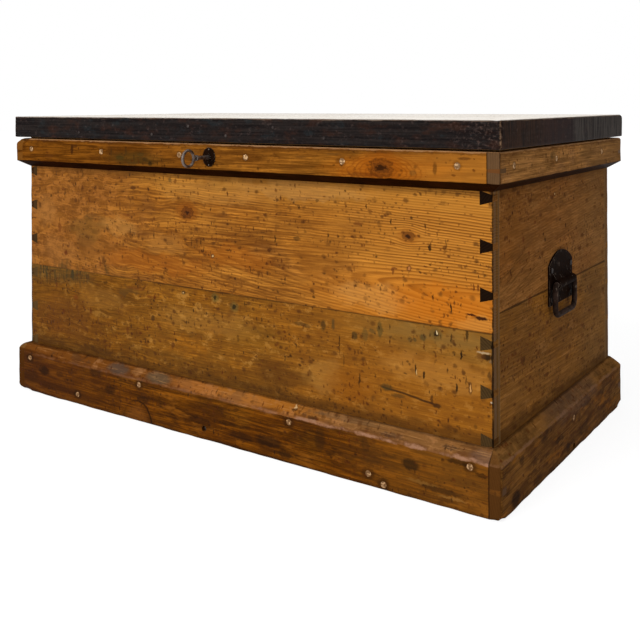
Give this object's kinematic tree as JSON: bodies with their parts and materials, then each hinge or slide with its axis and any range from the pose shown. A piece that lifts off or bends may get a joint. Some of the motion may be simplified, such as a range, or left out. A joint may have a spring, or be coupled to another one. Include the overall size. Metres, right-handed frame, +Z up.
{
  "type": "coffer",
  "caption": "Pine tool coffer with dovetailed board walls, chamfered band and plinth, hinged plank lid, chest lock with key and iron drop handles.",
  "frame": {"origin": "middle of the case's footprint on the floor, at the underside of the middle runner", "axes": "+X to the right along the front, +Y towards the back, +Z up; the front faces -Y"},
  "size_m": [1.002, 0.6288, 0.5257],
  "materials": {
    "waxed_pine": "waxed, worn",
    "lid_pine": "scrubbed top with black painted edges",
    "raw_pine": "bare, dusty",
    "pellet_wood": "waxed",
    "black_iron": "black, worn",
    "hinge_iron": "dull, rusty",
    "worn_iron": "dark, rubbed bright",
    "lock_iron": "dull",
    "old_steel": "dull, rusty"
  },
  "bodies": {
    "case": {"back_board_lower": "waxed_pine", "back_board_upper": "waxed_pine", "band_back": "waxed_pine", "band_front": "waxed_pine", "band_left": "waxed_pine", "band_pellets": "pellet_wood", "band_right": "waxed_pine", "band_screws": "old_steel", "bottom_board_1": "raw_pine", "bottom_board_2": "raw_pine", "bottom_board_3": "raw_pine", "bottom_board_4": "raw_pine", "bottom_board_5": "raw_pine", "bottom_nails": "old_steel", "escutcheon": "worn_iron", "escutcheon_pins": "old_steel", "front_board_lower": "waxed_pine", "front_board_upper": "waxed_pine", "handle_left_plate": "black_iron", "handle_right_plate": "black_iron", "handle_screws": "old_steel", "hinge_case_screws": "old_steel", "hinge_left_case_leaf": "hinge_iron", "hinge_left_pin": "hinge_iron", "hinge_right_case_leaf": "hinge_iron", "hinge_right_pin": "hinge_iron", "left_board_lower": "waxed_pine", "left_board_upper": "waxed_pine", "lock_case": "lock_iron", "lock_plate": "lock_iron", "lock_screws": "old_steel", "plinth_back": "waxed_pine", "plinth_front": "waxed_pine", "plinth_left": "waxed_pine", "plinth_pellets": "pellet_wood", "plinth_right": "waxed_pine", "plinth_screws": "old_steel", "right_board_lower": "waxed_pine", "right_board_upper": "waxed_pine", "runner_back": "raw_pine", "runner_front": "raw_pine", "runner_middle": "raw_pine"},
    "lid": {"hinge_left_lid_leaf": "hinge_iron", "hinge_lid_screws": "old_steel", "hinge_right_lid_leaf": "hinge_iron", "lid_batten_left": "raw_pine", "lid_batten_right": "raw_pine", "lid_batten_screws": "old_steel", "lid_edge_tacks": "old_steel", "lid_plank_back": "lid_pine", "lid_plank_front": "lid_pine", "link_plate": "lock_iron", "link_plate_screws": "old_steel"},
    "key_barrel": {"key_barrel": "lock_iron"},
    "key": {"key": "worn_iron"},
    "bolt": {"lock_bolt": "lock_iron", "lock_bolt_spring": "lock_iron"},
    "bail_right": {"handle_right_bail": "black_iron"},
    "bail_left": {"handle_left_bail": "black_iron"}
  },
  "joints": [
    {"name": "lid_hinge", "type": "hinge", "parent": "case", "child": "lid", "pos_m": [0, 0.2833, 0.48505], "axis": [-1, 0, 0], "range_deg": [0, 100]},
    {"name": "key_turn", "type": "hinge", "parent": "case", "child": "key_barrel", "pos_m": [-0.003, -0.245, 0.4623], "axis": [0, 1, 0], "range_deg": [0, 360]},
    {"name": "key_withdraw", "type": "slide", "parent": "key_barrel", "child": "key", "axis": [0, -1, 0], "range_m": [0, 0.045]},
    {"name": "bolt_slide", "type": "slide", "parent": "case", "child": "bolt", "axis": [1, 0, 0], "range_m": [0, 0.009]},
    {"name": "bail_right_lift", "type": "hinge", "parent": "case", "child": "bail_right", "pos_m": [0.489, 0, 0.269], "axis": [0, -1, 0], "range_deg": [0, 90]},
    {"name": "bail_left_lift", "type": "hinge", "parent": "case", "child": "bail_left", "pos_m": [-0.489, 0, 0.269], "axis": [0, 1, 0], "range_deg": [0, 90]}
  ],
  "couplings": [
    {"joint": "bolt_slide", "follows": "key_turn", "m_per_rad": 0.001432}
  ]
}
